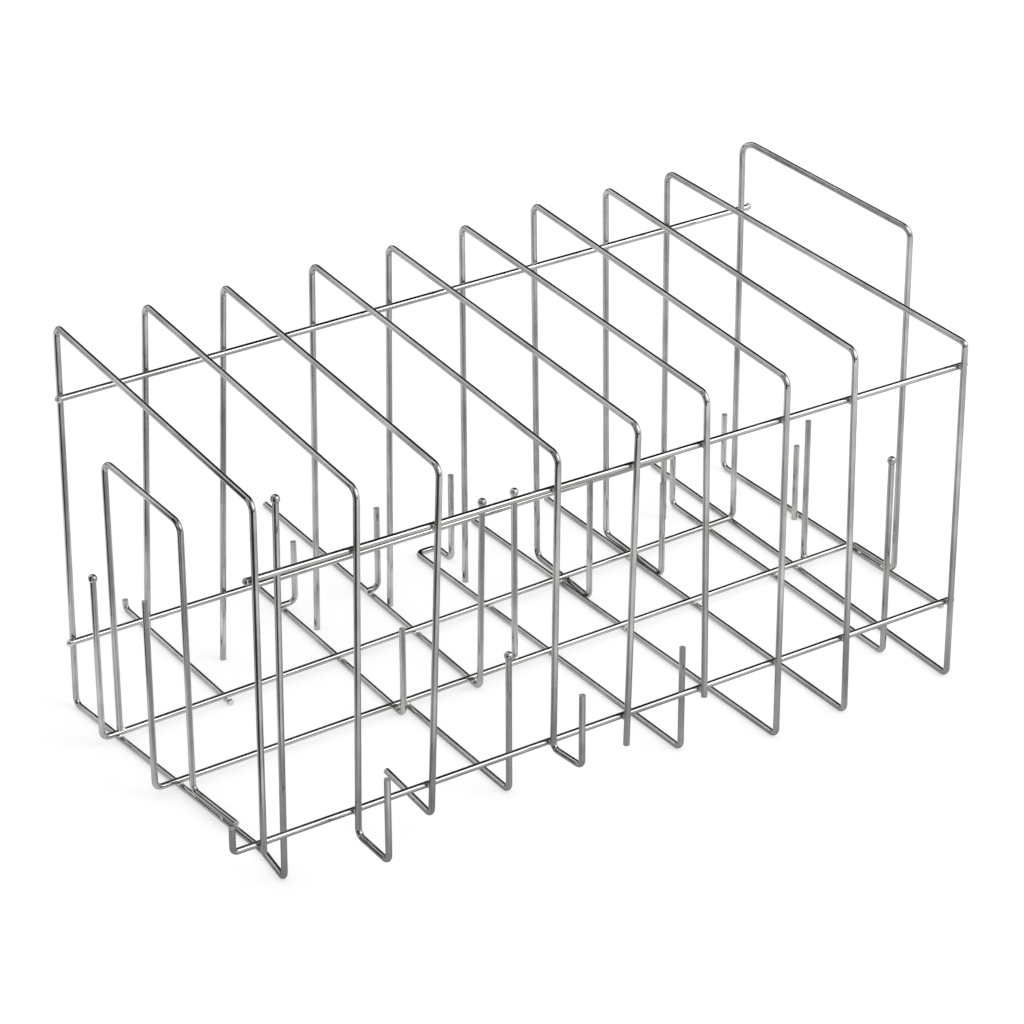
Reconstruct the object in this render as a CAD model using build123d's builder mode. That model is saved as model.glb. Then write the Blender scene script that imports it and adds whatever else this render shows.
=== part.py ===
"""Sterilization pouch rack: nine bent-wire hoops welded to four side rails and a floor frame.

Pouches stand on edge between the hoops. Every piece is one length of round steel wire, bent
and cut, and the wires only touch where a weld joins them.
X runs along the row of hoops, +Y is the far side, Z is up, and the rack stands on Z = 0.
"""
import os

from build123d import *

os.makedirs("parts", exist_ok=True)

# The wire
wire_d = 2.8
weld_gap = 0.05
top_bend = 4.6
foot_bend = 3.5
tip_d = 4.0

# The row of hoops: legs stand a few mm off the even pitch and lean a little, as bent by hand
rack_w = 190.0
rack_h = 182.0
hoop_pitch = 40.0
first_hoop_x = 4.0
far_shift = [2, 4, 2, 6, 5, 3, 1, 0, -6]
near_shift = [-11, -5, -7, 9, 8, 2, 3, -2, 17]
far_lean = [-2, -7, -8, -3, -3, 0, 2, 2, 1]
near_lean = [-1, -3, -6, -2, -4, 2, 0, 2, 0]
far_rise = [4, 3, 2, 1, 0, 0, 1, -1, -1]
near_rise = [10, 2, 1, -10, -8, -3, -7, -4, -16]

# The four side rails, inside the legs of the hoops
far_upper_z = 153.5
near_upper_z = 157.0
near_upper_fall = 3.0
far_lower_z = 34.5
near_lower_z = 35.5
near_lower_rise = 2.5
rail_overhang = 2.5
far_upper_reach = 44.0
near_lower_reach = 13.5
near_lower_upturn = 11.5
near_lower_bend = 2.2

# The floor frame: two rails over the floor bars, with the end hoop between them
floor_frame_lead = 8.0
far_floor_y = 58.5
far_floor_drift = 13.0
near_floor_y = 10.5
near_floor_drift = 9.0
far_corner_post_h = 84.0
near_corner_post_h = 96.0
end_hoop_far_reach = 25.0
end_hoop_near_reach = 58.0
end_hoop_far_h = 199.5
end_hoop_near_h = 178.0
end_hoop_near_y = -11.0
end_hoop_bend = 5.5

# The start loop, over the first hoop's floor bar
start_loop_far_h = 138.0
start_loop_near_h = 133.0
start_loop_near_y = 1.0
start_loop_foot = 33.0
start_loop_bend = 5.0

# Feet of the hoops
first_bar_kink_x = 11.0
first_bar_kink_y = -51.0
first_bar_kink_bend = 40.0
first_post_shift = 8.0
first_post_y = -75.0
first_post_h = 178.5
first_post_lean = 2.0
far_stub = 8.0
near_stub = 3.0
second_foot_z = 25.5
second_foot_length = 24.0
second_riser_z = 65.0
third_foot_z = 22.5
third_foot_length = 39.0
third_foot_drift = 2.0
fourth_foot_z = 34.5
fourth_foot_bend = 3.0
fourth_foot_length = 18.5
fourth_riser_z = 69.0
fifth_end_z = 23.5
foot_bar_reach = 45.0
seventh_bar_drift = 7.0
seventh_post_y = 49.0
eighth_bar_drift = 2.5
eighth_post_y = 48.0
seventh_post_h = 62.0
eighth_post_h = 50.0
ninth_bar_drift = -3.0
ninth_top_bend = 2.2

# Loose floor bars
hook_bar_shift = 20.5
hook_bar_reach = 62.0
hook_h = 6.0
hook_bar_past_rail = 3.0
bar_a_gap = 2.0
bar_a_drift = -2.0
bar_a_near_y = 8.0
bar_a_post_h = 45.0
bar_b_shift = 5.5
bar_b_past_rail = 5.0
bar_b_near_y = -69.0
bar_b_post_h = 68.0
bar_c_far_shift = -1.0
bar_c_drift = -4.5
bar_c_reach = 114.0
bar_c_near_y = 9.0
bar_c_post_h = 94.5
bar_c_post_lean = 1.8
bar_d_gap = 3.5
bar_d_drift = 5.5
bar_d_jog_y = 128.0
bar_d_far_y = 114.5
bar_d_jog = 11.0
bar_d_far_post_h = 46.0
bar_d_near_y = -81.0
bar_d_post_h = 52.0
bar_e_shift = 10.0
bar_e_far_y = 102.0
bar_e_far_post_h = 27.0
bar_e_near_y = -64.0
bar_e_post_h = 99.0
end_bar_far_y = 120.0
end_bar_far_post_h = 30.0
end_bar_near_y = -46.0
end_bar_drift = -4.0

# Short posts
small_post_step = 6.0
small_post_y = 116.0
small_post_h = 35.5
middle_post_step = 3.6
middle_post_y = 106.0
middle_post_h = 46.0
foot_past_bar = 3.0
rail_post_shift = 18.5
rail_post_h = 89.0
last_rail_post_shift = 30.0
last_rail_post_h = 76.0
end_post_y = 60.0
end_post_h = 39.5

# Worked out from the values above
touch = wire_d + weld_gap
leg_y = rack_w / 2
side_rail_y = leg_y - touch
bar_z = wire_d / 2
floor_rail_z = bar_z + touch
hoop_count = len(far_shift)
pitch_x = [first_hoop_x + hoop_pitch * n for n in range(hoop_count)]
far_top_x = [pitch_x[n] + far_shift[n] for n in range(hoop_count)]
near_top_x = [pitch_x[n] + near_shift[n] for n in range(hoop_count)]
far_foot_x = [far_top_x[n] + far_lean[n] for n in range(hoop_count)]
near_foot_x = [near_top_x[n] + near_lean[n] for n in range(hoop_count)]
last_far_x = far_top_x[-1]
last_near_x = near_top_x[-1]
floor_start_x = far_top_x[0] - floor_frame_lead
end_far_x = last_far_x + end_hoop_far_reach
end_near_x = last_far_x + end_hoop_near_reach
start_rail_x = near_top_x[0] - near_lower_reach


def straight(y, start_x, start_y, end_x, end_y):
    """Where a straight bar from one point to another lies along X at y."""
    return start_x + (end_x - start_x) * (y - start_y) / (end_y - start_y)


def end_bar_at(y):
    """Where the end floor bar lies along X at y."""
    return straight(y, end_near_x + end_bar_drift, end_bar_far_y, end_near_x, end_hoop_near_y)


# The origin is on the floor under the middle of the whole rack
outer_x = end_bar_at(end_bar_near_y)
front_y = -leg_y - second_foot_length - wire_d / 2
back_y = leg_y + bar_c_reach
middle = Vector((start_rail_x + outer_x) / 2, (front_y + back_y) / 2, 0)


def bent_wire(label, route, bends=foot_bend, tips=()):
    """One length of wire: its round section swept along straight runs joined by tangent arcs.

    bends is the centre-line radius of every bend, or a list with one radius for each.
    tips are the ends that are melted to a small ball; the other ends are cut square.
    """
    points = [Vector(*point) - middle for point in route]
    with BuildPart() as wire:
        with BuildLine() as line:
            if len(points) == 2:
                Line(*points)
            else:
                FilletPolyline(*points, radius=bends)
        with BuildSketch(Plane(origin=line.line @ 0, z_dir=line.line % 0)):
            Circle(wire_d / 2)
        sweep()
        for tip in tips:
            with Locations(Vector(*tip) - middle):
                Sphere(tip_d / 2)
    wire.part.label = label
    export_step(wire.part, f"parts/{label}.step")
    return wire.part


def hoop_top(n):
    """The two top corners of hoop n, from its far leg to its near leg."""
    return [
        (far_top_x[n], leg_y, rack_h + far_rise[n]),
        (near_top_x[n], -leg_y, rack_h + near_rise[n]),
    ]


def far_floor_at(x):
    """How far out the far floor rail lies at x: the rail runs a little askew."""
    return far_floor_y + far_floor_drift * (x - floor_start_x) / (end_far_x - floor_start_x)


def near_floor_at(x):
    """How far out the near floor rail lies at x."""
    return near_floor_y + near_floor_drift * (x - floor_start_x) / (end_near_x - floor_start_x)


# Side rails
bent_wire("far_upper_rail", [
    (far_top_x[0] - rail_overhang, side_rail_y, far_upper_z),
    (last_far_x + far_upper_reach, side_rail_y, far_upper_z),
])
bent_wire("near_upper_rail", [
    (near_top_x[0] - rail_overhang, -side_rail_y, near_upper_z),
    (last_near_x + rail_overhang, -side_rail_y, near_upper_z - near_upper_fall),
])
bent_wire("far_lower_rail", [
    (far_foot_x[0] - rail_overhang, side_rail_y, far_lower_z),
    (last_far_x + rail_overhang, side_rail_y, far_lower_z),
])
bent_wire("near_lower_rail", [
    (start_rail_x, -side_rail_y, near_lower_z + near_lower_upturn),
    (start_rail_x, -side_rail_y, near_lower_z),
    (last_near_x + rail_overhang, -side_rail_y, near_lower_z + near_lower_rise),
], bends=near_lower_bend)


def near_lower_at(x):
    """How high the near lower rail lies at x."""
    run = last_near_x + rail_overhang - start_rail_x
    return near_lower_z + near_lower_rise * (x - start_rail_x) / run


# End floor bar, under the foot of the end hoop
bent_wire("end_floor_bar", [
    (end_bar_at(end_bar_far_y), end_bar_far_y, end_bar_far_post_h),
    (end_bar_at(end_bar_far_y), end_bar_far_y, bar_z),
    (end_bar_at(end_bar_near_y), end_bar_near_y, bar_z),
])

# Floor frame: far corner post, far floor rail, end hoop, near floor rail and near corner post
far_corner_top = (floor_start_x, far_floor_y, far_corner_post_h)
end_foot_y = near_floor_y + near_floor_drift
bent_wire("floor_frame", [
    far_corner_top,
    (floor_start_x, far_floor_y, floor_rail_z),
    (end_far_x, far_floor_at(end_far_x), floor_rail_z),
    (end_far_x, far_floor_at(end_far_x), end_hoop_far_h),
    (end_near_x, end_hoop_near_y, end_hoop_near_h),
    (end_near_x, end_hoop_near_y, floor_rail_z),
    (end_bar_at(end_foot_y), end_foot_y, floor_rail_z),
    (floor_start_x, near_floor_y, floor_rail_z),
    (floor_start_x, near_floor_y, near_corner_post_h),
], bends=[foot_bend, foot_bend, end_hoop_bend, end_hoop_bend, foot_bend, foot_bend, foot_bend],
    tips=[far_corner_top])

# Hoop 1: its floor bar runs under the whole rack to a tall post with a melted tip
first_post_x = far_foot_x[0] + first_post_shift
first_kink_x = far_foot_x[0] + first_bar_kink_x
first_post_top = (first_post_x + first_post_lean, first_post_y, first_post_h)
bent_wire("hoop_1", [
    first_post_top,
    (first_post_x, first_post_y, bar_z),
    (first_kink_x, first_bar_kink_y, bar_z),
    (far_foot_x[0], leg_y, bar_z),
    *hoop_top(0),
    (near_foot_x[0], -leg_y, near_lower_at(near_foot_x[0]) - near_stub),
], bends=[foot_bend, first_bar_kink_bend, foot_bend, top_bend, top_bend], tips=[first_post_top])


def first_bar_at(y):
    """Where hoop 1's floor bar lies along X at y."""
    return straight(y, far_foot_x[0], leg_y, first_kink_x, first_bar_kink_y)


# Start loop: stands on the far floor rail and lies along hoop 1's floor bar
start_loop_x = first_bar_at(far_floor_y)
start_loop_end_y = start_loop_near_y - start_loop_foot
bent_wire("start_loop", [
    (start_loop_x, far_floor_at(start_loop_x), floor_rail_z + wire_d / 2 + weld_gap),
    (start_loop_x, far_floor_at(start_loop_x), start_loop_far_h),
    (first_bar_at(start_loop_near_y), start_loop_near_y, start_loop_near_h),
    (first_bar_at(start_loop_near_y), start_loop_near_y, floor_rail_z),
    (first_bar_at(start_loop_end_y), start_loop_end_y, floor_rail_z),
], bends=[start_loop_bend, start_loop_bend, foot_bend])

# Hoop 2: cut off under the far rail, and turned out and up again at the near side
bent_wire("hoop_2", [
    (far_foot_x[1], leg_y, far_lower_z - far_stub),
    *hoop_top(1),
    (near_foot_x[1], -leg_y, second_foot_z),
    (near_foot_x[1], -leg_y - second_foot_length, second_foot_z),
    (near_foot_x[1], -leg_y - second_foot_length, second_riser_z),
], bends=[top_bend, top_bend, foot_bend, foot_bend])

# Hoop 3: stands on the floor at the far side, and turned inwards at the near side
bent_wire("hoop_3", [
    (far_foot_x[2], leg_y, 0),
    *hoop_top(2),
    (near_foot_x[2], -leg_y, third_foot_z),
    (near_foot_x[2] + third_foot_drift, -leg_y + third_foot_length, third_foot_z),
], bends=[top_bend, top_bend, foot_bend])

# Hoop 4: like hoop 2 at the near side
bent_wire("hoop_4", [
    (far_foot_x[3], leg_y, 0),
    *hoop_top(3),
    (near_foot_x[3], -leg_y, fourth_foot_z),
    (near_foot_x[3] + third_foot_drift, -leg_y - fourth_foot_length, fourth_foot_z),
    (near_foot_x[3] + third_foot_drift, -leg_y - fourth_foot_length, fourth_riser_z),
], bends=[top_bend, top_bend, fourth_foot_bend, fourth_foot_bend])

# Hoops 5 and 6: straight legs, cut off below the near lower rail
bent_wire("hoop_5", [
    (far_foot_x[4], leg_y, 0),
    *hoop_top(4),
    (near_foot_x[4], -leg_y, fifth_end_z),
], bends=top_bend)
bent_wire("hoop_6", [
    (far_foot_x[5], leg_y, 0),
    *hoop_top(5),
    (near_foot_x[5], -leg_y, near_lower_at(near_foot_x[5]) - near_stub),
], bends=top_bend)

# Hoops 7 and 8: floor bar, near leg, top, far leg, and a foot against the bar that ends in a post
for n, bar_drift, post_y, post_h in ((6, seventh_bar_drift, seventh_post_y, seventh_post_h),
                                     (7, eighth_bar_drift, eighth_post_y, eighth_post_h)):
    bar_far_y = leg_y + foot_bar_reach
    bar_far_x = near_foot_x[n] - bar_drift
    post_x = straight(post_y, near_foot_x[n], -leg_y, bar_far_x, bar_far_y) + touch
    bent_wire(f"hoop_{n + 1}", [
        (bar_far_x, bar_far_y, bar_z),
        (near_foot_x[n], -leg_y, bar_z),
        *hoop_top(n)[::-1],
        (far_foot_x[n], leg_y, bar_z),
        (post_x, post_y, bar_z),
        (post_x, post_y, post_h),
    ], bends=[foot_bend, top_bend, top_bend, foot_bend, foot_bend])

# Hoop 9: its near leg turns in to a floor bar that crosses the rack
bent_wire("hoop_9", [
    (far_foot_x[8], leg_y, 0),
    *hoop_top(8),
    (near_foot_x[8], -leg_y, bar_z),
    (near_foot_x[8] - ninth_bar_drift, leg_y + foot_bar_reach, bar_z),
], bends=[top_bend, ninth_top_bend, foot_bend])

# Floor bar with a small hook outside the rack, ending under the far floor rail
hook_bar_x = far_foot_x[1] + hook_bar_shift
bent_wire("hook_bar", [
    (hook_bar_x, leg_y + hook_bar_reach, hook_h),
    (hook_bar_x, leg_y + hook_bar_reach, bar_z),
    (hook_bar_x, far_floor_at(hook_bar_x) - hook_bar_past_rail, bar_z),
], bends=wire_d)

# Floor bar a, beside the far foot of hoop 4, and bar b behind its near end
bar_a_far_x = far_foot_x[3] - touch - bar_a_gap
bar_a_near_x = bar_a_far_x + bar_a_drift
bent_wire("floor_bar_a", [
    (bar_a_far_x, leg_y + foot_bar_reach, bar_z),
    (bar_a_near_x, bar_a_near_y, bar_z),
    (bar_a_near_x, bar_a_near_y, bar_a_post_h),
])
bar_b_x = bar_a_near_x + bar_b_shift
bar_b_post_top = (bar_b_x, bar_b_near_y, bar_b_post_h)
bent_wire("floor_bar_b", [
    (bar_b_x, near_floor_at(bar_b_x) + bar_b_past_rail, bar_z),
    (bar_b_x, bar_b_near_y, bar_z),
    bar_b_post_top,
], tips=[bar_b_post_top])

# Floor bar c, beside the far foot of hoop 5, reaches far out behind the rack
bar_c_far_x = far_foot_x[4] + bar_c_far_shift
bar_c_near_x = bar_c_far_x + bar_c_drift
bar_c_post_top = (bar_c_near_x + bar_c_post_lean, bar_c_near_y, bar_c_post_h)
bent_wire("floor_bar_c", [
    (bar_c_far_x, leg_y + bar_c_reach, bar_z),
    (bar_c_near_x, bar_c_near_y, bar_z),
    bar_c_post_top,
], tips=[bar_c_post_top])

# Floor bar d, beside the far foot of hoop 6, with a hairpin before its far post
bar_d_far_x = far_foot_x[5] - touch - bar_d_gap
bar_d_near_x = bar_d_far_x + bar_d_drift
bent_wire("floor_bar_d", [
    (bar_d_far_x + bar_d_jog, bar_d_far_y, bar_d_far_post_h),
    (bar_d_far_x + bar_d_jog, bar_d_far_y, bar_z),
    (bar_d_far_x + bar_d_jog, bar_d_jog_y, bar_z),
    (bar_d_far_x, bar_d_jog_y, bar_z),
    (bar_d_near_x, bar_d_near_y, bar_z),
    (bar_d_near_x, bar_d_near_y, bar_d_post_h),
])

# Floor bar e, past hoop 9, with a short far post and a tall near post
bar_e_x = far_foot_x[8] + bar_e_shift
bar_e_post_top = (bar_e_x, bar_e_near_y, bar_e_post_h)
bent_wire("floor_bar_e", [
    (bar_e_x, bar_e_far_y, bar_e_far_post_h),
    (bar_e_x, bar_e_far_y, bar_z),
    (bar_e_x, bar_e_near_y, bar_z),
    bar_e_post_top,
], tips=[bar_e_post_top])


def footed_post(label, bar_x, step, y, height):
    """A short post beside a floor bar, on a foot that lies across the bar."""
    bent_wire(label, [
        (bar_x - foot_past_bar, y, floor_rail_z),
        (bar_x + step, y, floor_rail_z),
        (bar_x + step, y, height),
    ])


footed_post("small_post", straight(
    small_post_y, bar_a_far_x, leg_y + foot_bar_reach, bar_a_near_x, bar_a_near_y),
    small_post_step, small_post_y, small_post_h)
footed_post("middle_post", straight(
    middle_post_y, bar_c_far_x, leg_y + bar_c_reach, bar_c_near_x, bar_c_near_y),
    middle_post_step, middle_post_y, middle_post_h)

# Straight posts welded to the side of the near floor rail and of the end floor bar
rail_post_x = far_foot_x[4] + rail_post_shift
rail_post_y = near_floor_at(rail_post_x) + touch
rail_post_top = (rail_post_x, rail_post_y, rail_post_h)
bent_wire("rail_post", [
    (rail_post_x, rail_post_y, bar_z),
    rail_post_top,
], tips=[rail_post_top])
last_rail_post_x = last_far_x + last_rail_post_shift
last_rail_post_y = near_floor_at(last_rail_post_x) + touch
bent_wire("last_rail_post", [
    (last_rail_post_x, last_rail_post_y, bar_z),
    (last_rail_post_x, last_rail_post_y, last_rail_post_h),
])
bent_wire("end_bar_post", [
    (end_bar_at(end_post_y) - touch, end_post_y, 0),
    (end_bar_at(end_post_y) - touch, end_post_y, end_post_h),
])
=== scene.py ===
"""Looks of the sterilization pouch rack: bright drawn steel wire, welded where the wires meet.

The CAD wires stay as they are. This script gives them the finish of drawn steel, which is
darker round each weld, and adds the weld beads and the melted ends of the side rails.
"""
import math

import bpy
import numpy as np
from mathutils import Matrix, Vector
from mathutils.bvhtree import BVHTree


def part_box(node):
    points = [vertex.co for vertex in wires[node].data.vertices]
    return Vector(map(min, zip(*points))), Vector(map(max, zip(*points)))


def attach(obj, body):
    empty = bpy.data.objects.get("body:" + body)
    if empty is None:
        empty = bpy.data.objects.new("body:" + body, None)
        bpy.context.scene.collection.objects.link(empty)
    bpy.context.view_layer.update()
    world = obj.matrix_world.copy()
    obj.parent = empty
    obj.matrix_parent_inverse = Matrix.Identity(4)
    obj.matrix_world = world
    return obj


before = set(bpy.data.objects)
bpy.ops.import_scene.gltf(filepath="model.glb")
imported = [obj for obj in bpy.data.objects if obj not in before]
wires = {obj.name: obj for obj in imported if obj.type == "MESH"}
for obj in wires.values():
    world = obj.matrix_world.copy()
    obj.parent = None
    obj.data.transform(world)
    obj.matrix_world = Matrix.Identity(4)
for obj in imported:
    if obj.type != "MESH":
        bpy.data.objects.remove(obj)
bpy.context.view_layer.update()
side_rails = ("far_upper_rail", "near_upper_rail", "far_lower_rail", "near_lower_rail")
bent_start_rail = "near_lower_rail"

# Wire and welds, in metres
wire_r = 0.0014
weld_reach = 0.0003
weld_spacing = 0.012

# Weld beads: half their thickness and their radius in metres, then how uneven they are
bead_across = 0.00100
bead_round = 0.00125
bead_sizes = (0.88, 1.12)
bead_swell = 0.16
bead_lumps = 0.08
bead_fine_share = 0.6

# Melted ends of the side rails: radius and half length in metres, how full and how uneven
rail_end_r = 0.00170
rail_end_length = 0.0015
rail_end_fullness = 0.8
rail_end_lumps = (0.05, 0.04)

# Points of each small ball, between its poles and round it
ball_rows = 14
ball_columns = 20

# A face whose summed normals are shorter than flat_below is flat, the cut end of a wire, and
# no sum is divided by less than shortest
flat_below = 1e-3
shortest = 1e-9

# Lines that the drawing die leaves: changes per metre across the wire and along it
line_fine = 900.0
line_slow = 9.0
line_detail = 1.0
line_range = (0.3, 0.7)

# Patches on the metal, in changes per metre, and the range of each noise that counts
tone_noise = {"scale": 38.0, "detail": 3.0, "roughness": 0.6}
tone_range = (0.32, 0.68)
handling_noise = {"scale": 420.0, "detail": 3.0, "roughness": 0.65}
handling_range = (0.45, 0.75)
crust_noise = {"scale": 700.0, "detail": 4.0, "roughness": 0.6}
crust_range = (0.38, 0.62)
skin_noise = {"scale": 520.0, "detail": 3.0, "roughness": 0.55}
skin_range = (0.42, 0.66)
bead_grain = {"scale": 2600.0}
rail_end_grain = {"scale": 1500.0}

# Tint from the heat of a weld: how uneven its edge is and where it fades, both in metres, and
# how much of it shows
heat_noise = {"scale": 900.0}
heat_uneven = 0.0022
heat_range = (0.0022, 0.0052)
heat_share = 0.10

# Shares of the slow patches and of the die lines in the wire's tone
tone_share = 0.6
line_share = 0.4

# Roughness of the metal, and what each kind of mark adds to it
line_roughness = (0.09, 0.16)
handling_roughness = 0.06
heat_roughness = 0.06
cut_roughness = 0.45
bead_roughness = (0.55, 0.40)
rail_end_roughness = (0.16, 0.34)

# Relief: strength of each bump and its depth in metres
wire_bump = (0.07, 0.00003)
weld_bump = (0.3, 0.00006)
handling_relief = 0.25

# Colours as the bare metal shows them under white light
bright_steel = (0.60, 0.598, 0.583, 1)
dull_steel = (0.262, 0.26, 0.252, 1)
cut_steel = (0.72, 0.72, 0.70, 1)
heat_brown = (0.28, 0.26, 0.24, 1)
bead_light = (0.92, 0.91, 0.89, 1)
bead_dark = (0.72, 0.71, 0.69, 1)
edge_tint = (0.75, 0.75, 0.75, 1)

# Studio floor, paper and light, with sizes in metres
white = (1, 1, 1, 1)
floor_colour = (0.50, 0.50, 0.50, 1)
floor_glow = 0.56
floor_half = 12.0
floor_z = -0.00005
card_colour = (0.02, 0.02, 0.02, 1)
side_card_colour = (0.08, 0.08, 0.08, 1)
grey_card_colour = (0.55, 0.55, 0.55, 1)
matt_roughness = 0.9
sky_light = 0.72
sky_seen = 1.0

# Soft boxes: place, side in metres and power
soft_boxes = {
    "key_light": ((0.95, -1.25, 1.35), 1.3, 15.0),
    "top_light": ((-0.2, 0.1, 2.4), 1.6, 6.0),
}
soft_box_aim = (0, 0, 0.1)
soft_box_diffuse = 0.5

# Cards round the rack: compass angles and angles over the floor, in degrees
dark_cards = {
    "far_card": ((8, 84), (0, 70)),
    "top_card": ((-38, 8), (54, 72)),
    "overhead_card": ((-180, 180), (72, 90)),
    "low_card": ((84, 300), (1, 10)),
}
grey_cards = {"left_card": ((150, 235), (32, 72))}
card_distance = 3.0
card_points = 24

# Painted shadow under the near legs: a dark sheet that only the metal reflects, which covers less
# towards the end hoop
shadow_sheet_half = 0.7
shadow_sheet_z = -0.00002
shadow_sheet_x = (-0.05, 0.25)
shadow_sheet_cover = (0.52, 0.30)
shadow_sheet_middle_y = -0.145
shadow_sheet_half_y = 0.060
shadow_sheet_soft = 0.045

# Cards that stand on the floor beside the start of the rack
side_card_x = -0.27
side_cards = {"near_side_card": (-0.55, -0.13), "far_side_card": (-0.045, 0.065)}
side_card_high = 0.30

# Camera, as the photograph was taken
camera_at = Vector((-0.82724, -1.32250, 0.92350))
camera_azimuth = math.radians(-32.709)
camera_elevation = math.radians(28.725)
camera_roll = math.radians(-0.211)
camera_lens = 140.62
camera_clip = (0.05, 60.0)
sensor_width = 36.0


# Where the wires meet

def starts(low, high, count=5):
    """A grid of points through the box between two corners."""
    steps = [(k + 0.5) / count for k in range(count)]
    size = high - low
    return [low + Vector((size.x * s, size.y * t, size.z * u))
            for s in steps for t in steps for u in steps]


def closest_pair(tree_a, tree_b, start, steps=12):
    """Closest points of two wires near start: goes from one surface to the other and back."""
    on_b = start
    for _ in range(steps):
        on_a = tree_a.find_nearest(on_b)[0]
        on_b = tree_b.find_nearest(on_a)[0]
    return on_a, on_b


def find_welds():
    """Every place where two wires lie a hair apart: (point, axis across the joint, the names).

    Each pair of wires whose boxes meet is tried from a grid of points in the shared box. The
    axis is the one of X, Y and Z along which the wires face each other.
    """
    trees = {name: BVHTree.FromPolygons([v.co for v in wire.data.vertices],
                                        [tuple(p.vertices) for p in wire.data.polygons])
             for name, wire in wires.items()}
    boxes = {name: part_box(name) for name in wires}
    names = sorted(wires)
    found = []
    for i, a in enumerate(names):
        for b in names[i + 1:]:
            low = Vector(map(max, boxes[a][0], boxes[b][0]))
            high = Vector(map(min, boxes[a][1], boxes[b][1]))
            if any(low[k] > high[k] + weld_reach for k in range(3)):
                continue
            for start in starts(low, high):
                on_a, on_b = closest_pair(trees[a], trees[b], start)
                point = (on_a + on_b) / 2
                known = any((point - w[0]).length < weld_spacing and {a, b} == w[2] for w in found)
                if known or (on_a - on_b).length > weld_reach:
                    continue
                across = on_b - on_a
                found.append((point, max(range(3), key=lambda k: abs(across[k])), {a, b}))
    return found


# Shapes

def add_surface(name, points, faces, material):
    """Makes a piece from whole arrays of points and faces, smooth, riding on the rack."""
    mesh = bpy.data.meshes.new(name)
    mesh.from_pydata(points.reshape(-1, 3).tolist(), [], faces.tolist())
    mesh.polygons.foreach_set("use_smooth", np.ones(len(mesh.polygons), bool))
    mesh.validate()
    mesh.update()
    mesh.materials.append(material)
    piece = bpy.data.objects.new(name, mesh)
    bpy.context.scene.collection.objects.link(piece)
    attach(piece, "root")


def ball_grid():
    """Angles of a closed ball: height angle by row, poles left out, and turn angle by column."""
    height = np.linspace(-math.pi / 2, math.pi / 2, ball_rows + 2)[1:-1]
    turn = np.linspace(0, 2 * math.pi, ball_columns, endpoint=False)
    return height[:, None], turn[None, :]


def ball_faces(count):
    """Faces of count balls. Each has its rows of points in turn, then its low and high pole."""
    rows, columns = ball_rows, ball_columns
    row, column = np.meshgrid(np.arange(rows - 1), np.arange(columns), indexing="ij")
    after = (column + 1) % columns
    a, b = row * columns + column, row * columns + after
    quads = np.stack([a, b, b + columns, a + columns], -1).reshape(-1, 4)
    turn = np.arange(columns)
    next_turn = (turn + 1) % columns
    low = np.full(columns, rows * columns)
    high = low + 1
    top = (rows - 1) * columns
    caps = np.concatenate([np.stack([next_turn, turn, low, low], -1),
                           np.stack([top + turn, top + next_turn, high, high], -1)])
    one = np.concatenate([quads, caps])
    shift = np.arange(count)[:, None, None] * (rows * columns + 2)
    return (one[None] + shift).reshape(-1, 4)


def weld_beads(name, joints, material, seed):
    """One bead of squeezed metal in each joint: a flattened ball on the axis across the joint.

    With height angle h and turn t, the ball is across * sin(h) high, and its radius is
    round * cos(h) * (1 - swell * cos(4t) * cos(h) ** 2), so that it swells in the four corners
    between the crossing wires. Three slow waves, which go round two, three and five times with
    random phases, are added to both and make each bead uneven.
    """
    random = np.random.default_rng(seed)
    height, turn = ball_grid()
    count = len(joints)
    size = random.uniform(*bead_sizes, (count, 1, 1))
    phase = random.uniform(0, 2 * math.pi, (count, 4, 1, 1))
    lumps = bead_lumps * (np.sin(2 * turn + phase[:, 0]) * np.cos(height)
                          + np.sin(3 * turn + 2 * height + phase[:, 1])
                          + bead_fine_share * np.sin(5 * turn - 3 * height + phase[:, 2]))
    corner = -np.cos(4 * turn) * np.cos(height) ** 2
    radius = bead_round * size * np.cos(height) * (1 + bead_swell * corner + lumps)
    rise = bead_across * size * (np.sin(height) + lumps * np.sin(height))
    body = np.stack([radius * np.cos(turn), radius * np.sin(turn), rise], -1)
    pole = np.zeros((count, 2, 3))
    pole[:, 0, 2] = -bead_across * size[:, 0, 0]
    pole[:, 1, 2] = bead_across * size[:, 0, 0]
    local = np.concatenate([body.reshape(count, -1, 3), pole], 1)
    axes = np.array([joint[1] for joint in joints])
    order = np.stack([(axes + 1) % 3, (axes + 2) % 3, axes], -1)
    turned = np.zeros_like(local)
    np.put_along_axis(turned, np.broadcast_to(order[:, None, :], local.shape), local, -1)
    places = np.array([joint[0] for joint in joints])
    add_surface(name, turned + places[:, None], ball_faces(count), material)


def rail_ends(name, ends, material, seed):
    """Melted ends of the side rails: a full, slightly uneven ball on each end.

    ends holds (middle of the end face, outward direction along the rail). With height angle h
    and turn t the ball is length * sin(h) long outwards, and r * cos(h) ** fullness round the
    rail, where two slow waves with random phases make it uneven.
    """
    random = np.random.default_rng(seed)
    height, turn = ball_grid()
    count = len(ends)
    phase = random.uniform(0, 2 * math.pi, (count, 2, 1, 1))
    lumps = (1 + rail_end_lumps[0] * np.sin(2 * turn + phase[:, 0])
             + rail_end_lumps[1] * np.sin(3 * turn + height + phase[:, 1]))
    radius = rail_end_r * np.cos(height) ** rail_end_fullness * lumps
    along = np.broadcast_to(rail_end_length * np.sin(height), radius.shape)
    outward = np.array([end[1] for end in ends])[:, None, None]
    body = np.stack([along * outward, radius * np.cos(turn) * outward, radius * np.sin(turn)], -1)
    pole = np.zeros((count, 2, 3))
    pole[:, 0, 0] = -rail_end_length * outward[:, 0, 0]
    pole[:, 1, 0] = rail_end_length * outward[:, 0, 0]
    local = np.concatenate([body.reshape(count, -1, 3), pole], 1)
    places = np.array([end[0] for end in ends])
    add_surface(name, local + places[:, None], ball_faces(count), material)


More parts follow.
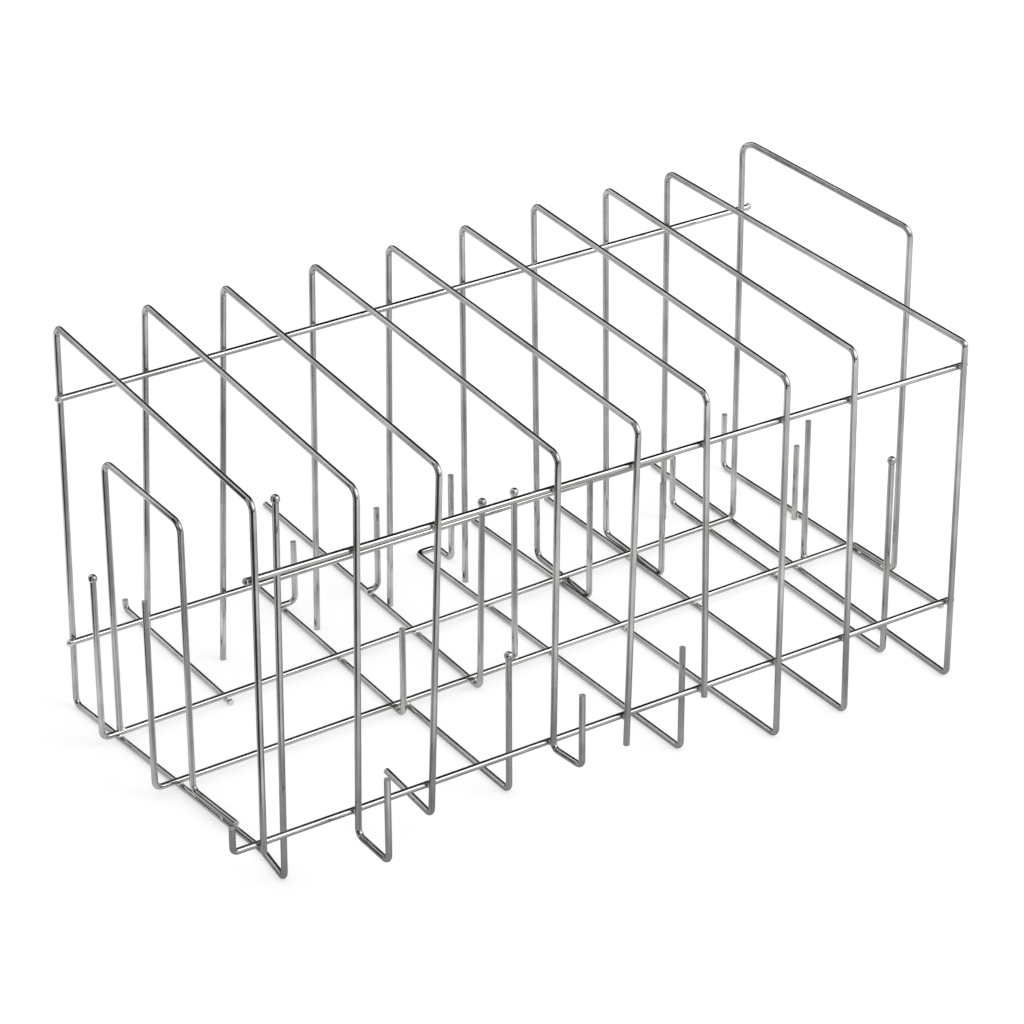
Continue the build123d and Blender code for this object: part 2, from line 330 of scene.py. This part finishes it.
def mark_wire(mesh):
    """Stores on each face which way the wire runs, and whether the face is a cut end.

    Round a wire all normals lie in one plane, so the cross products of a face's three corner
    normals point along the wire. Where the normals don't differ, the face is a flat cut end.
    """
    count = len(mesh.polygons)
    normals = np.zeros(len(mesh.loops) * 3, np.float32)
    mesh.corner_normals.foreach_get("vector", normals)
    corners = normals.reshape(count, 3, 3).astype(float)
    products = np.cross(corners, np.roll(corners, -1, axis=1))
    largest = products[np.arange(count), np.abs(products).sum(-1).argmax(1)]
    sign = np.sign((products * largest[:, None]).sum(-1, keepdims=True))
    total = (products * sign).sum(1)
    length = np.linalg.norm(total, axis=1, keepdims=True)
    cut = length[:, 0] < flat_below
    direction = np.where(cut[:, None], corners[:, 0], total / np.maximum(length, shortest))
    store = mesh.attributes.new("wire_direction", "FLOAT_VECTOR", "FACE")
    store.data.foreach_set("vector", direction.astype(np.float32).ravel())
    store = mesh.attributes.new("cut_end", "FLOAT", "FACE")
    store.data.foreach_set("value", cut.astype(np.float32))


# Finishes

class Nodes:
    """Short ways to add shader nodes to a material or to the world."""

    def __init__(self, owner):
        owner.use_nodes = True
        self.owner = owner
        self.tree = owner.node_tree
        self.shader = self.tree.nodes.get("Principled BSDF")

    def add(self, kind, links=(), **settings):
        """Adds a node, sets its properties, and fills its inputs from sockets or plain values."""
        node = self.tree.nodes.new(kind)
        for key, value in settings.items():
            setattr(node, key, value)
        for key, value in dict(links).items():
            self.fill(node.inputs[key], value)
        return node

    def fill(self, entry, value):
        """Links a socket to an input, or writes a plain value there."""
        if isinstance(value, bpy.types.NodeSocket):
            self.tree.links.new(value, entry)
        else:
            entry.default_value = value

    def set(self, **inputs):
        """Fills inputs of the surface's own shader, with _ for each space in a name."""
        for key, value in inputs.items():
            self.fill(self.shader.inputs[key.replace("_", " ")], value)

    def show(self, surface):
        """Makes the given shader the one that the material shows."""
        self.tree.links.new(surface, self.tree.nodes["Material Output"].inputs["Surface"])

    def place(self):
        """Where a point lies on the rack, in metres."""
        return self.add("ShaderNodeTexCoord").outputs["Object"]

    def attribute(self, name, kind):
        """A value that mark_wire stored on the faces."""
        return self.add("ShaderNodeAttribute", attribute_name=name).outputs[kind]

    def math(self, operation, a, b=0.0):
        return self.add("ShaderNodeMath", {0: a, 1: b}, operation=operation).outputs[0]

    def spread(self, value, low, high, to_low=0.0, to_high=1.0):
        """Value taken from the range low to high to the range to_low to to_high, and clamped."""
        return self.add("ShaderNodeMapRange", {
            "Value": value, "From Min": low, "From Max": high,
            "To Min": to_low, "To Max": to_high}).outputs["Result"]

    def noise(self, place, scale, detail=2.0, roughness=0.5):
        return self.add("ShaderNodeTexNoise", {
            "Vector": place, "Scale": scale, "Detail": detail,
            "Roughness": roughness}).outputs["Fac"]

    def stretched(self, place, factors):
        return self.add("ShaderNodeMapping", {"Vector": place, "Scale": factors}).outputs["Vector"]

    def mix(self, factor, a, b):
        return self.add("ShaderNodeMix", {"Factor": factor, "A": a, "B": b},
                        data_type="RGBA").outputs["Result"]


def bare_metal(nodes, colour, roughness, relief, bump):
    """Sets a metal surface with the given colour and roughness, and bumps it by the relief."""
    strength, depth = bump
    normal = nodes.add("ShaderNodeBump", {
        "Strength": strength, "Distance": depth, "Height": relief}).outputs["Normal"]
    nodes.set(Base_Color=colour, Roughness=roughness, Metallic=1.0, Normal=normal)


def die_lines(nodes, place):
    """Fine lines that the drawing die leaves along a wire, whichever way the wire runs.

    A noise is stretched along each axis in turn, and the three are weighed by the squares of
    the wire's direction, which add up to 1.
    """
    along = nodes.attribute("wire_direction", "Vector")
    squares = nodes.add("ShaderNodeVectorMath", {0: along, 1: along}, operation="MULTIPLY")
    weights = nodes.add("ShaderNodeSeparateXYZ", {0: squares.outputs[0]})
    total = None
    for axis in "XYZ":
        factors = tuple(line_slow if name == axis else line_fine for name in "XYZ")
        lines = nodes.noise(nodes.stretched(place, factors), 1.0, line_detail)
        part = nodes.math("MULTIPLY", lines, weights.outputs[axis])
        total = part if total is None else nodes.math("ADD", total, part)
    return total


def weld_distance(nodes, place, points):
    """Distance to the nearest of the given weld points."""
    nearest = None
    for point in points:
        gap = nodes.add("ShaderNodeVectorMath", {0: place, 1: tuple(point)},
                        operation="DISTANCE").outputs["Value"]
        nearest = gap if nearest is None else nodes.math("MINIMUM", nearest, gap)
    return nearest


def drawn_steel(name, weld_points):
    """Drawn stainless wire: fine lines along it, slow changes of tone, darker round the welds."""
    nodes = Nodes(bpy.data.materials.new(name))
    place = nodes.place()
    lines = die_lines(nodes, place)
    tone = nodes.spread(nodes.noise(place, **tone_noise), *tone_range)
    handling = nodes.spread(nodes.noise(place, **handling_noise), *handling_range)
    heat_edge = nodes.math("MULTIPLY", nodes.noise(place, **heat_noise), heat_uneven)
    reach = nodes.math("ADD", weld_distance(nodes, place, weld_points), heat_edge)
    heat = nodes.spread(reach, *heat_range, 1.0, 0.0)
    cut = nodes.attribute("cut_end", "Fac")

    lift = nodes.math("ADD", nodes.math("MULTIPLY", tone, tone_share),
                      nodes.math("MULTIPLY", nodes.spread(lines, *line_range), line_share))
    colour = nodes.mix(lift, dull_steel, bright_steel)
    colour = nodes.mix(nodes.math("MULTIPLY", heat, heat_share), colour, heat_brown)
    colour = nodes.mix(cut, colour, cut_steel)

    roughness = nodes.spread(lines, *line_range, *line_roughness)
    for mark, added in ((handling, handling_roughness), (heat, heat_roughness),
                        (cut, cut_roughness)):
        roughness = nodes.math("ADD", roughness, nodes.math("MULTIPLY", mark, added))

    relief = nodes.math("ADD", lines, nodes.math("MULTIPLY", handling, handling_relief))
    bare_metal(nodes, colour, roughness, relief, wire_bump)
    nodes.set(Specular_Tint=edge_tint)
    return nodes.owner


def weld_steel():
    """Metal of the beads: rougher than the wire, with darker crust between light spots."""
    nodes = Nodes(bpy.data.materials.new("weld_steel"))
    place = nodes.place()
    light_spots = nodes.spread(nodes.noise(place, **crust_noise), *crust_range)
    colour = nodes.mix(light_spots, bead_dark, bead_light)
    roughness = nodes.spread(light_spots, 0.0, 1.0, *bead_roughness)
    bare_metal(nodes, colour, roughness, nodes.noise(place, **bead_grain), weld_bump)
    return nodes.owner


def melted_steel():
    """Metal of the rails' melted ends: bright and smooth, with a thin dull skin in places."""
    nodes = Nodes(bpy.data.materials.new("melted_steel"))
    place = nodes.place()
    skin = nodes.spread(nodes.noise(place, **skin_noise), *skin_range)
    colour = nodes.mix(skin, cut_steel, dull_steel)
    roughness = nodes.spread(skin, 0.0, 1.0, *rail_end_roughness)
    bare_metal(nodes, colour, roughness, nodes.noise(place, **rail_end_grain), weld_bump)
    return nodes.owner


# The rack

welds = find_welds()
for name, wire in wires.items():
    mark_wire(wire.data)
    own = [weld[0] for weld in welds if name in weld[2]]
    wire.data.materials.clear()
    wire.data.materials.append(drawn_steel("drawn_steel_" + name, own))

bead_metal = weld_steel()
rail_joints = [weld for weld in welds if weld[2] & set(side_rails)]
floor_joints = [weld for weld in welds if not weld[2] & set(side_rails)]
weld_beads("side_rail_welds", rail_joints, bead_metal, seed=11)
weld_beads("floor_welds", floor_joints, bead_metal, seed=12)

# Each side rail is melted at both ends, apart from the start of the one that is bent up there
ends = []
for name in side_rails:
    low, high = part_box(name)
    points = np.array([v.co for v in wires[name].data.vertices])
    if name != bent_start_rail:
        first = points[points[:, 0] < low.x + wire_r / 2]
        ends.append((tuple((first.min(0) + first.max(0)) / 2), -1.0))
    last = points[points[:, 0] > high.x - wire_r / 2]
    ends.append((tuple((last.min(0) + last.max(0)) / 2), 1.0))
rail_ends("side_rail_ends", ends, melted_steel(), seed=13)


# Studio

def studio_sheet(name, points, faces, material):
    """A sheet of the studio, which isn't part of the rack."""
    mesh = bpy.data.meshes.new(name)
    mesh.from_pydata(points, [], faces)
    mesh.materials.append(material)
    sheet = bpy.data.objects.new(name, mesh)
    bpy.context.scene.collection.objects.link(sheet)
    return sheet


def flat_sheet(name, corners, material):
    """A flat sheet between four corners."""
    return studio_sheet(name, corners, [(0, 1, 2, 3)], material)


def bent_card(name, turns, heights, material):
    """A card bent to a patch of a ball round the rack.

    Its points lie card_distance away, between two compass angles and two angles over the floor:
    with compass angle t and angle h over the floor, X is cos(h) * cos(t), Y is cos(h) * sin(t)
    and Z is sin(h), each times the distance.
    """
    turn, height = np.meshgrid(np.radians(np.linspace(*turns, card_points)),
                               np.radians(np.linspace(*heights, card_points)))
    points = card_distance * np.stack([np.cos(height) * np.cos(turn),
                                       np.cos(height) * np.sin(turn), np.sin(height)], -1)
    steps = np.arange(card_points - 1)
    row, column = np.meshgrid(steps, steps, indexing="ij")
    first = row * card_points + column
    faces = np.stack([first, first + 1, first + card_points + 1, first + card_points], -1)
    return studio_sheet(name, points.reshape(-1, 3).tolist(), faces.reshape(-1, 4).tolist(),
                        material)


def level_corners(half, height):
    """Corners of a level square round the origin."""
    return [(x, y, height) for x, y in ((-half, -half), (half, -half), (half, half), (-half, half))]


def only_reflected(card):
    """Hides a card from the camera and from the light, so that only the metal shows it."""
    card.visible_camera = card.visible_diffuse = card.visible_shadow = False


def seen_directly(nodes):
    """1 for what the camera, the metal's reflections or glass see, and 0 for the light itself."""
    path = nodes.add("ShaderNodeLightPath").outputs
    seen = nodes.math("MAXIMUM", path["Is Camera Ray"], path["Is Glossy Ray"])
    return nodes.math("MAXIMUM", seen, path["Is Transmission Ray"])


def matt_paper(name, colour):
    """Matt paper of one colour, without any gloss."""
    nodes = Nodes(bpy.data.materials.new(name))
    nodes.set(Base_Color=colour, Roughness=matt_roughness, Specular_IOR_Level=0.0)
    return nodes


def floor_paper():
    """Pale floor that takes the rack's shadow, with a glow that lifts what is seen to white."""
    nodes = matt_paper("pale_floor", floor_colour)
    glow = nodes.add("ShaderNodeEmission", {
        "Color": white, "Strength": nodes.math("MULTIPLY", seen_directly(nodes), floor_glow)})
    both = nodes.add("ShaderNodeAddShader", {0: nodes.shader.outputs[0], 1: glow.outputs[0]})
    nodes.show(both.outputs[0])
    return nodes.owner


def painted_shadow_material():
    """Painted shadow under the rack: a dark sheet that lets the floor through, more so to its soft
    edges and the end hoop.
    """
    nodes = matt_paper("painted_shadow_sheet", card_colour)
    side = nodes.add("ShaderNodeSeparateXYZ", {0: nodes.place()}).outputs
    share = nodes.spread(side["X"], *shadow_sheet_x, *shadow_sheet_cover)
    off_middle = nodes.math("ABSOLUTE", nodes.math("SUBTRACT", side["Y"], shadow_sheet_middle_y))
    inside = nodes.spread(off_middle, shadow_sheet_half_y, shadow_sheet_half_y + shadow_sheet_soft, 1.0, 0.0)
    cover = nodes.add("ShaderNodeMixShader", {
        0: nodes.math("MULTIPLY", share, inside),
        1: nodes.add("ShaderNodeBsdfTransparent").outputs[0], 2: nodes.shader.outputs[0]})
    nodes.show(cover.outputs[0])
    return nodes.owner


def soft_box(name, place, side, power):
    """A soft square lamp at place that points at the middle of the rack."""
    light = bpy.data.lights.new(name, "AREA")
    light.shape = "RECTANGLE"
    light.size = light.size_y = side
    light.energy = power
    light.diffuse_factor = soft_box_diffuse
    lamp = bpy.data.objects.new(name, light)
    bpy.context.scene.collection.objects.link(lamp)
    lamp.location = place
    aim = Vector(soft_box_aim) - Vector(place)
    lamp.rotation_euler = aim.to_track_quat("-Z", "Y").to_euler()


flat_sheet("floor", level_corners(floor_half, floor_z), floor_paper())

world = bpy.data.worlds.new("studio")
bpy.context.scene.world = world
sky = Nodes(world)
background = world.node_tree.nodes["Background"]
sky.fill(background.inputs["Color"], white)
sky.fill(background.inputs["Strength"],
         sky.spread(seen_directly(sky), 0.0, 1.0, sky_light, sky_seen))

for name, (place, side, power) in soft_boxes.items():
    soft_box(name, place, side, power)

dark_paper = matt_paper("dark_paper", card_colour).owner
grey_paper = matt_paper("grey_paper", grey_card_colour).owner
for cards, paper in ((dark_cards, dark_paper), (grey_cards, grey_paper)):
    for name, (turns, heights) in cards.items():
        only_reflected(bent_card(name, turns, heights, paper))

# Painted shadow: a dark sheet under the near legs that only the metal reflects
only_reflected(flat_sheet("painted_shadow_sheet", level_corners(shadow_sheet_half, shadow_sheet_z), painted_shadow_material()))

side_paper = matt_paper("side_paper", side_card_colour).owner
for name, (near_y, far_y) in side_cards.items():
    edges = [(near_y, 0), (far_y, 0), (far_y, side_card_high), (near_y, side_card_high)]
    only_reflected(flat_sheet(name, [(side_card_x, y, z) for y, z in edges], side_paper))


# Camera

back = Vector((math.sin(camera_azimuth) * math.cos(camera_elevation),
               -math.cos(camera_azimuth) * math.cos(camera_elevation),
               math.sin(camera_elevation)))
level_right = back.cross(Vector((0, 0, -1))).normalized()
level_up = back.cross(level_right)
right = level_right * math.cos(camera_roll) + level_up * math.sin(camera_roll)
up = level_up * math.cos(camera_roll) - level_right * math.sin(camera_roll)
turned_camera = Matrix((right, up, back)).transposed().to_4x4()
camera_data = bpy.data.cameras.new("camera")
camera_data.lens = camera_lens
camera_data.sensor_width = sensor_width
camera_data.clip_start, camera_data.clip_end = camera_clip
camera = bpy.data.objects.new("camera", camera_data)
bpy.context.scene.collection.objects.link(camera)
camera.matrix_world = Matrix.Translation(camera_at) @ turned_camera
bpy.context.scene.camera = camera
bpy.context.scene.view_settings.view_transform = "Standard"
